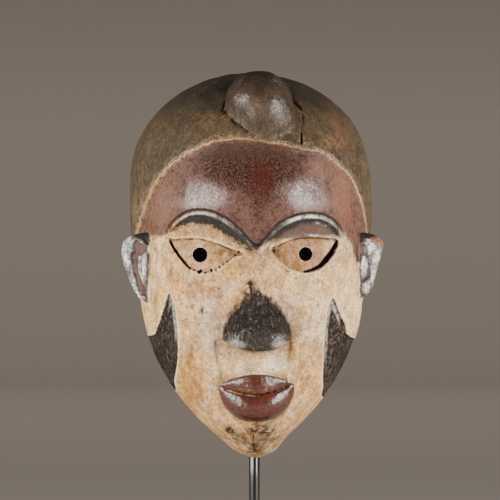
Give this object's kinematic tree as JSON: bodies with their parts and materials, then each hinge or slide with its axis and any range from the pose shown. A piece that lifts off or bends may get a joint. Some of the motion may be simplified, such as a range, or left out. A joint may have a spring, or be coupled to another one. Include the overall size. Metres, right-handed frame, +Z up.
{
  "type": "kongo mask",
  "caption": "Carved and painted wooden face mask with a topknot, flared ears and pierced pupils, held upright on a plain black rod stand.",
  "frame": {"origin": "middle of the stand's underside, below the rod's axis", "axes": "+Z up along the rod, the face looks towards -Y, +X to the mask's left hand"},
  "size_m": [0.1918, 0.1574, 0.397],
  "materials": {
    "painted_wood": "worn pale clay and dark red-brown pigment on carved wood",
    "black_steel": "satin black"
  },
  "bodies": {
    "root": {"mask": "painted_wood", "stand_base": "black_steel", "stand_rod": "black_steel", "cradle": "black_steel", "cross_bar": "black_steel"}
  },
  "joints": []
}
